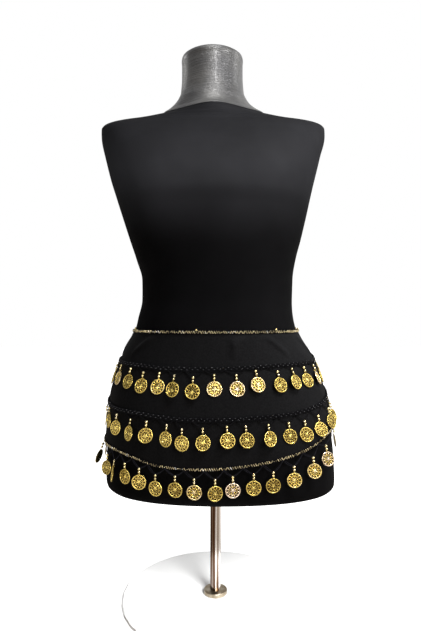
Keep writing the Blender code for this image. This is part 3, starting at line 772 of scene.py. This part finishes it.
def build_tail(name, table, slant, material, replaced):
    """A hanging end: pleated cloth with a narrow turned hem. Gives the piece and its cut in metres."""
    angle = np.float64(math.radians(180 + BELT_TURN))
    depth, part = np.meshgrid(np.linspace(table[0].depth, table[-1].depth, 80), np.linspace(0, 1, 100),
                              indexing="ij")
    across, wide, fold, off = (read_table(table, "depth", column, depth)
                               for column in ("across", "wide", "fold", "off"))
    share = (depth - table[0].depth) / (table[-1].depth - table[0].depth)
    height = BELT_TOP - depth
    out = outward(angle, height)
    beside = np.cross(UP, -outward(angle, np.float64(BELT_TOP)))
    run = 2 * math.pi * TAIL_FOLDS * part
    wave = np.sin(run) + 0.12 * np.sin(3 * run + 3 * share)
    middle = (torso_point(angle, height) + beside * (across + (part - 0.5) * wide)[..., None]
              + out * (off + fold * wave)[..., None] - UP * (slant * part * share ** 3 * wide)[..., None])
    border = np.minimum(np.minimum(part, 1 - part) * wide, (1 - share) * (table[-1].depth - table[0].depth))
    half = TAIL_THICK / 2 + 0.25 / (1 + np.exp((border - TAIL_HEM) * 4))
    front = middle + out * half[..., None]
    back = (middle - out * half[..., None])[:, ::-1]
    piece = make_piece(name, grid(np.concatenate((front, back), 1), wrap=True, cap_ends=True), material,
                       [replaced])
    return piece, flat_cut(middle)


def flat_cut(middle):
    """Width, length and area in metres of the cloth whose middle surface is a grid of points."""
    down = np.diff(middle, axis=0)
    along = np.diff(middle, axis=1)
    area = np.linalg.norm(np.cross(down[:, :-1], along[:-1]), axis=-1).sum() * MM * MM
    width = np.linalg.norm(along, axis=-1).sum(1).max() * MM
    length = np.linalg.norm(down, axis=-1).sum(0).max() * MM
    return width, length, area


def band_path(line, pitch, start=-BELT_END, end=BELT_END):
    """Places of equal pitch in mm along a line of the belt: sides and depths."""
    fine = np.linspace(start, end, 1200)
    depth = belt_line(line, fine) if line != "top" else np.zeros_like(fine)
    points = cloth_point(fine, depth, CLOTH_THICK)
    run = np.concatenate(([0], np.cumsum(np.linalg.norm(np.diff(points, axis=0), axis=1))))
    count = int(run[-1] / pitch)
    marks = (np.arange(count) + 0.5) * run[-1] / count
    side = np.interp(marks, run, fine)
    return side, np.interp(side, fine, depth)


def local_frame(side, depth):
    """Along, down the cloth and out at places of the belt."""
    along = unit(cloth_point(side + 0.4, depth) - cloth_point(side - 0.4, depth))
    out = outward(np.radians(side + BELT_TURN), BELT_TOP - depth)
    down = np.cross(along, out)
    return along, down, out


def flat_strip(path, down, out, section):
    """A strip along a path. Its section is given as depths down the cloth and distances off it."""
    section = np.array(section)
    return grid(path[:, None] + down[:, None] * section[:, :1] + out[:, None] * section[:, 1:],
                wrap=True, cap_ends=True)


def seed_edging(name, line, low, high, seed, thread_material, bead_material, replaced=()):
    """Crochet edging: slanted stitches of three seed beads each, over a strip of black thread."""
    pick = np.random.default_rng(seed)
    beads, threads = Cluster(), Cluster()
    side, depth = band_path(line, STITCH_PITCH)
    tall = high - low
    along, down, out = local_frame(side, depth)
    centre = cloth_point(side, depth + (low + high) / 2, CLOTH_THICK + STITCH_OFF)
    run = SEED_FIRST
    for index in range(len(side)):
        run = np.clip(run + pick.normal(0, SEED_WANDER), *SEED_BRIGHT)
        slant = 1 if pick.uniform() < 0.7 else -1
        bright = run * pick.uniform(0.5, 1.6) + 0.5 * (pick.uniform() < 0.2)
        for step in (-1, 0, 1) if pick.uniform() < 0.8 else (0,):
            shift = slant * step * SEED_SLANT + pick.normal(0, 0.15)
            place = centre[index] + down[index] * step * tall * SEED_SPREAD + along[index] * shift
            size = SEED_SIZE * pick.uniform(0.85, 1.15)
            beads.add(SMALL_BEAD, np.stack((along[index], down[index], out[index])) * size,
                      place + out[index] * 0.3 * (step == 0), bright * pick.uniform(0.7, 1.2))
        basis = np.stack((down[index] * tall * 0.5, along[index] * 0.5, out[index] * 0.8))
        threads.add(STITCH, basis, centre[index] + along[index] * STITCH_PITCH / 2 - out[index] * 0.1)
    path = cloth_point(side, depth + (low + high) / 2, CLOTH_THICK + 0.55)
    threads.add(flat_strip(path, down, out, ((-tall / 2, -0.25), (tall / 2 + 0.6, -0.25),
                                             (tall / 2 + 0.6, 0.35), (-tall / 2, 0.35))))
    return [make_piece(name + "_thread", threads.shape(), thread_material),
            make_piece(name + "_beads", beads.shape(), bead_material, replaced)]


def build_standing_beads(material):
    """Single gold beads that stand on the top edging, a few at the front and the rest evenly spaced."""
    beads = Cluster()
    for side in STANDING_BEADS:
        place = cloth_point(side, 0, CLOTH_THICK + 1.6) + UP * STANDING_RISE
        beads.add(BEAD, np.eye(3) * STANDING_SIZE, place, 1.1)
    return make_piece("standing_beads", beads.shape(), material)


def braid(cluster, row):
    """The black crochet braid of a sewn band, as rows of slanted stitches over a strip."""
    side, depth = band_path(row.line, BRAID_PITCH, row.start, row.end)
    along, down, out = local_frame(side, depth)
    for index in range(len(side)):
        for level, slant, shift in BRAID_STITCHES:
            place = cloth_point(side[index] + shift, depth[index] - BAND_TALL + level,
                                CLOTH_THICK + STITCH_OFF)
            lean = along[index] * 0.9 + down[index] * slant * 0.5
            basis = np.stack((lean * 1.35, np.cross(out[index], lean) * 0.62, out[index] * 0.75))
            cluster.add(STITCH, basis, place)
    path = cloth_point(side, depth, CLOTH_THICK + 0.8)
    cluster.add(flat_strip(path, down, out, ((-BAND_TALL, -0.2), (BRAID_BELOW, -0.2),
                                             (BRAID_BELOW, 0.2), (-BAND_TALL, 0.2))))


def glass_beads(row):
    """Black glass beads on a sewn band, set high and low by turns."""
    glass = Cluster()
    side, depth = band_path(row.line, GLASS_PITCH, row.start, row.end)
    for index in range(len(side)):
        place = cloth_point(side[index], depth[index] - GLASS_RISES[index % 2], CLOTH_THICK + 2)
        glass.add(SMALL_BEAD, np.eye(3) * GLASS_SIZE, place)
    return glass.shape()


def hung_coins(row):
    """The row's coins from the table, and others at an even pitch from there to both ends."""
    coins = list(row.coins)
    for direction, limit in ((1, row.end), (-1, row.start)):
        side = coins[-1].side if direction > 0 else coins[0].side
        while True:
            depth = belt_line(row.line, side)
            pitch = COIN_PITCH * sides_per_mm(side, depth)
            side = side + direction * pitch
            if abs(side) + pitch / 2 > abs(limit) - BAND_END_MARGIN:
                break
            coins.insert(len(coins) if direction > 0 else 0, Coin(side, 0, 0))
    return coins


def turned_about_z(turn):
    return np.array(((math.cos(turn), math.sin(turn), 0), (-math.sin(turn), math.cos(turn), 0), (0, 0, 1)))


def polar(turn, reach, level=0.0):
    return np.array((math.cos(turn) * reach, math.sin(turn) * reach, level))


def disc(*rings):
    """Points of a round face, as rings of a reach and a level."""
    return np.array([[polar(turn, reach, level) for turn in turns(COIN_SIDES)] for reach, level in rings])


def coin_shape():
    """A stamped coin facing +Z with its link at +Y: rim, twelve pearls, inner ring and star."""
    coin = Cluster()
    coin.add(torus(COIN_OUTER - COIN_RIM, COIN_RIM, 0.55, 44, 8))
    pearl_bead = ball(5, 8)
    for index in range(COIN_PEARLS):
        turn = math.radians(360 / COIN_PEARLS * (index + 0.5))
        coin.add(pearl_bead, np.diag((1.15, 0.85, 0.7)) @ turned_about_z(turn),
                 polar(turn, PEARL_REACH), 0.95)
    coin.add(torus(RING_REACH, 0.55, 0.5, COIN_SIDES, 6), tint=0.85)
    field = disc((0.1, -0.1), (5.5, -0.1), (FIELD_REACH, -0.15), (FIELD_REACH, -0.4), (0.1, -0.4))
    coin.add(grid(field, wrap=True, cap_ends=True), tint=0.05)
    coin.add(grid(disc((9.3, -0.45), (0.1, -0.45)), wrap=True), tint=0.6)
    tips = 2 * STAR_RAYS
    rays = [polar(math.radians(360 / tips * index - 90), STAR_WAIST if index % 2 else STAR_REACH, 0.05)
            for index in range(tips)]
    rays = np.array(rays + [(0, 0, 0.6), (0, 0, -0.2)])
    ring = np.arange(tips)
    beside = np.roll(ring, -1)
    star = np.concatenate((np.stack((ring, beside, np.full(tips, tips)), -1),
                           np.stack((beside, ring, np.full(tips, tips + 1)), -1)))
    coin.add((rays, NO_QUADS, star, np.ones(len(rays))))
    for index in range(STAR_RAYS):
        turn = math.radians(360 / STAR_RAYS * index - 54)
        coin.add(pearl_bead, np.diag((0.8, 0.8, 0.6)), polar(turn, DOT_REACH), 0.75)
    coin.add(pearl_bead, np.diag((1.1, 1.1, 0.5)), np.array((0, 0, 0.35)), 1.1)
    link = torus(1.15, 0.32, 0.32, 12, 6)
    upright = np.array(((0, 1, 0), (0, 0, 1), (1, 0, 0)), float)
    coin.add(link, upright, np.array((0, COIN_RADIUS + 0.35, 0)), 0.6)
    return coin.shape()


def hang_coin(row, coin, roots, shapes, beads, coins, threads, pick):
    """Two doubled threads from the band, two beads, and a coin, in the places of the CAD's."""
    line = belt_line(row.line, coin.side)
    angle = np.radians(coin.side + BELT_TURN)
    turn = math.radians(coin.turn)
    loop = line + row.loop + coin.drop
    below = loop + 2 * BEAD_PITCH
    coin_top = below + COIN_LINK
    push = COIN_RADIUS * abs(math.sin(turn)) * TURN_SHARE

    def place(depth, off):
        share = (depth - line) / (coin_top + COIN_RADIUS - line)
        return cloth_point(coin.side, depth, CLOTH_THICK + off + push * share)

    out = outward(angle, BELT_TOP - loop)
    along = np.cross(UP, out)
    turned = math.cos(turn) * along + math.sin(turn) * out
    for drop, size in zip(DROP_DEPTHS, DROP_SIZES):
        beads.add(BEAD, np.stack((turned, out, UP)) * (size, size, size),
                  place(loop + drop, LOOP_OFF), pick.uniform(1.0, 1.35))

    high = place(coin_top, 0)
    up = unit(high - place(coin_top + 2 * COIN_RADIUS, 0))
    face = unit(np.cross(turned, up))
    centre = high - up * COIN_RADIUS
    degrees = sides_per_mm(coin.side, coin_top)
    lift = 0.0
    for across in (-0.9, -0.45, 0, 0.45, 0.9):
        for down in (0, 0.5, 1, 1.5, 2):
            behind = cloth_point(coin.side + across * COIN_RADIUS * degrees,
                                 coin_top + down * COIN_RADIUS, CLOTH_THICK)
            point = centre + turned * across * COIN_RADIUS + up * (1 - down) * COIN_RADIUS
            lift = max(lift, (behind - point).dot(out))
    centre = centre + out * (lift + COIN_THICK / 2 + COIN_CLEAR)
    drawn = pick.uniform(*COIN_TINTS)
    shade = PALE_COINS.get((row.name, coin.side), drawn)
    coins.add(shapes, np.stack((turned, up, face)), centre, shade)

    knot = place(loop, LOOP_OFF)
    bottom = centre + up * (COIN_RADIUS + THREAD_END)
    threads.add(tube(np.linspace(knot, place(below, LOOP_OFF), 4), BEAD_THREAD))
    threads.add(tube(np.linspace(place(below - 0.4, LOOP_OFF), bottom, 4), COIN_THREAD))
    threads.add(STITCH, np.eye(3) * (0.9, 0.9, 0.75), knot)
    share = np.linspace(0, 1, 9)[:, None]
    for root in roots:
        root_line = belt_line(row.line, root)
        for strand, sag in enumerate(LOOP_SAGS):
            foot = cloth_point(root + (strand - 0.5) * 0.5, root_line - 0.6, CLOTH_THICK + 1.6)
            belly = foot * (1 - LOOP_LEAN) + knot * LOOP_LEAN
            belly[2] = foot[2] * (1 - sag) + knot[2] * sag - pick.uniform(0, 1.2)
            path = foot * (1 - share) ** 2 + belly * 2 * share * (1 - share) + knot * share ** 2
            threads.add(tube(path, LOOP_THREAD, 5))


def build_rows(thread_material, hem_material, bead_material, coin_material, glass_material):
    shapes = coin_shape()
    made = []
    for number, row in enumerate(ROWS):
        pick = np.random.default_rng(40 + number)
        beads, coins, threads = Cluster(), Cluster(), Cluster()
        hung = hung_coins(row)
        sides = [coin.side for coin in hung]
        roots = [(left + right) / 2 for left, right in zip(sides, sides[1:])]
        roots = [2 * sides[0] - roots[0]] + roots + [2 * sides[-1] - roots[-1]]
        for index, coin in enumerate(hung):
            hang_coin(row, coin, roots[index:index + 2], shapes, beads, coins, threads, pick)
        if row.line != "hem":
            braid(threads, row)
            made.append(make_piece(row.name + "_glass", glass_beads(row), glass_material))
        loops = hem_material if row.line == "hem" else thread_material
        made.append(make_piece(row.name + "_thread", threads.shape(), loops))
        made.append(make_piece(row.name + "_drops", beads.shape(), bead_material))
        made.append(make_piece(row.name + "_coins", coins.shape(), coin_material, [row.name]))
    return made


# Stage: camera, backdrop, floor and lights

def place_light(data, place, target):
    light = bpy.data.objects.new(data.name, data)
    light.location = place
    light.rotation_euler = (Vector(target) - Vector(place)).to_track_quat("-Z", "Y").to_euler()
    light.visible_camera = False
    bpy.context.scene.collection.objects.link(light)
    return light


def area_light(name, place, target, size, power):
    data = bpy.data.lights.new(name, "AREA")
    data.shape = "RECTANGLE"
    data.size, data.size_y = size
    data.energy = power
    return place_light(data, place, target)


def spot_light(name, place, target, cone, power, radius, blend=0.3, widened=1.0):
    """A soft-edged spot, with its cone in degrees and how much wider than high it is."""
    data = bpy.data.lights.new(name, "SPOT")
    data.spot_size = math.radians(cone)
    data.spot_blend = blend
    data.shadow_soft_size = radius
    data.energy = power
    light = place_light(data, place, target)
    light.scale = (widened, 1, 1)
    return light


def light_only(light, pieces, state="INCLUDE"):
    """Let a light reach only these pieces, or all but these."""
    group = bpy.data.collections.new(light.name + "_reach")
    for piece in pieces:
        group.objects.link(piece)
    for item in group.collection_objects:
        item.light_linking.link_state = state
    light.light_linking.receiver_collection = group


def build_lights(cover, neck, metal, stand):
    """Broad lights, and small ones that reach only the neck, the chest or the metal."""
    area_light("key_right", (1.9, -1.5, 0.9), (0, 0, 0.4), (0.5, 0.9), 20)
    area_light("right_strip", (1.5, 0.1, 0.9), (0, 0, 0.4), (0.3, 1.4), 6)
    top = area_light("top_box", (0.8, -0.7, 2.0), (0, 0, 0.6), (0.7, 0.5), 38)
    light_only(top, [neck], "EXCLUDE")
    light_only(area_light("neck_strip", (0.3, -1.4, 1.45), (0, -0.05, 0.78), (0.1, 0.7), 8), [neck])
    light_only(area_light("neck_left", (-1.0, 0.5, 0.85), (0, 0, 0.78), (0.4, 0.8), 3), [neck])
    light_only(area_light("neck_top", (0.1, -0.6, 2.0), (0, -0.05, 0.76), (0.7, 0.6), 5), [neck])
    for name, place, target, cone, power, blend, wide in (
            ("chest_right", (1.2, -1.2, 0.8), (0.02, -0.1, 0.68), 8, 400, 0.25, 3.5),
            ("chest_left", (-0.9, -1.4, 0.8), (-0.04, -0.1, 0.68), 8, 60, 0.25, 3.5),
            ("chest_low", (-0.5, -1.6, 0.75), (-0.03, -0.11, 0.625), 4.5, 220, 0.9, 5)):
        light_only(spot_light(name, place, target, cone, power, 0.05, blend, wide), [cover])
    light_only(area_light("flash", (0.1, -1.4, 0.5), (0, 0, 0.35), (0.2, 0.2), 3), metal)
    light_only(area_light("low_panel", (0.1, -1.3, 0.05), (0, 0, 0.3), (1.6, 0.8), 4), metal)
    light_only(area_light("left_panel", (-1.26, -0.44, 0.15), (0, 0, 0.28), (1.4, 0.5), 3), metal)
    light_only(area_light("front_left_panel", (-0.75, -1.15, 0.15), (0, 0, 0.28), (1.0, 0.5), 3), metal)
    light_only(spot_light("plate_spot", (0.5, -1.0, 0.9), (-0.02, -0.02, 0), 36, 165, 0.3), stand)


def world_colour(tree):
    """White for the camera. What lights the object is dark in front, and pale behind and above."""
    nodes = Nodes(tree)
    place = nodes.node("ShaderNodeTexCoord").outputs["Generated"]
    direction = nodes.node("ShaderNodeSeparateXYZ", {"Vector": place}).outputs

    def ramp(axis, low, high, start, end):
        return nodes.between(direction[axis], low, high, start, end, interpolation_type="SMOOTHSTEP")

    behind = nodes.combined("MULTIPLY", ramp("Y", -0.2, 0.8, 0, 1), ramp("X", -0.7, 0.6, 0.4, 1))
    behind = nodes.combined("MULTIPLY", behind, ramp("Z", 0, 0.3, 0.3, 1))
    level = nodes.combined("MAXIMUM", behind, ramp("Z", 0.4, 0.95, 0, 0.7))
    shade = nodes.mix(level, (0.03, 0.026, 0.022), (0.9, 0.9, 0.9))
    seen = nodes.node("ShaderNodeLightPath").outputs["Is Camera Ray"]
    return nodes.mix(seen, shade, (1, 1, 1))


def floor_material():
    """Pale floor that turns into the white backdrop away from the stand."""
    made = Material("pale_floor", (0.9, 0.9, 0.9), 0.9, Specular_IOR_Level=0.0)
    away = made.node("ShaderNodeVectorMath", {0: made.place}, operation="LENGTH").outputs["Value"]
    glow = made.between(away, 0.2, 0.5, 0.85, 1.0)
    path = made.node("ShaderNodeLightPath").outputs["Is Camera Ray"]
    seen = made.between(path, 0, 1, 0.2, 1)
    made.set("Base Color", made.mix(path, (0.3, 0.25, 0.2), (0.9, 0.9, 0.9)))
    made.shader.inputs["Emission Color"].default_value = (1, 1, 1, 1)
    made.set("Emission Strength", made.combined("MULTIPLY", glow, seen))
    return made.made


def build_stage():
    scene = bpy.context.scene
    scene.view_settings.view_transform = "Standard"
    scene.view_settings.look = "None"
    data = bpy.data.cameras.new("camera")
    data.lens = CAMERA_LENS
    data.sensor_width = CAMERA_SENSOR
    camera = bpy.data.objects.new("camera", data)
    camera.location = CAMERA_PLACE
    camera.rotation_euler = (math.pi / 2, 0, 0)
    scene.collection.objects.link(camera)
    scene.camera = camera

    world = bpy.data.worlds.new("studio")
    scene.world = world
    world.use_nodes = True
    tree = world.node_tree
    tree.links.new(world_colour(tree), tree.nodes["Background"].inputs["Color"])

    mesh = bpy.data.meshes.new("floor")
    mesh.from_pydata([(-6, -6, 0), (6, -6, 0), (6, 6, 0), (-6, 6, 0)], [], [(0, 1, 2, 3)])
    mesh.materials.append(floor_material())
    floor = bpy.data.objects.new("floor", mesh)
    scene.collection.objects.link(floor)


build_stage()
crepe_material = crepe()
thread_material = thread("black_thread", (0.0025, 0.0025, 0.003), (0.006, 0.0058, 0.0065))
# The hem's loops get a paler thread than the other rows.
hem_thread = thread("paler_thread", (0.006, 0.006, 0.008), (0.016, 0.0155, 0.02))
seed_material = tinted_metal("seed_beads", (0.05, 0.03, 0.015), (0.85, 0.72, 0.42), (0.95, 0.93, 0.9),
                             0.25, 0.4)
drop_material = tinted_metal("drop_beads", (0.4, 0.28, 0.1), (0.97, 0.82, 0.42), (0.95, 0.9, 0.8), 0.22, 0.3)
coin_material = tinted_metal("gold_coins", (0.04, 0.018, 0.003), (0.96, 0.74, 0.2), (0.95, 0.78, 0.6),
                             0.2, 0.32, 0.00025)
glass_material = Material("black_glass", (0.012, 0.012, 0.015), 0.14).made

cover = build_cover()
neck = build_neck()
scarf, scarf_cut = build_cloth(crepe_material)
knot = build_knot(crepe_material)
tail_left, left_cut = build_tail("scarf_end_left", TAIL_LEFT, TAIL_SLANT, crepe_material, "belt_tail_left")
tail_right, right_cut = build_tail("scarf_end_right", TAIL_RIGHT, -TAIL_SLANT, crepe_material,
                                   "belt_tail_right")
trim = seed_edging("top_edging", "top", -1.2, 3.0, 7, thread_material, seed_material, ["top_edging"])
trim += seed_edging("hem_edging", "hem", -3.8, 0, 9, thread_material, seed_material)
trim.append(build_standing_beads(drop_material))
trim += build_rows(thread_material, hem_thread, drop_material, coin_material, glass_material)
for node, material in (("pole", chrome()), ("base_flange", flange_metal()), ("base_plate", enamel())):
    NODES[node].data.materials.clear()
    NODES[node].data.materials.append(material)

build_lights(cover, neck, trim, [NODES["base_plate"], NODES["base_flange"]])
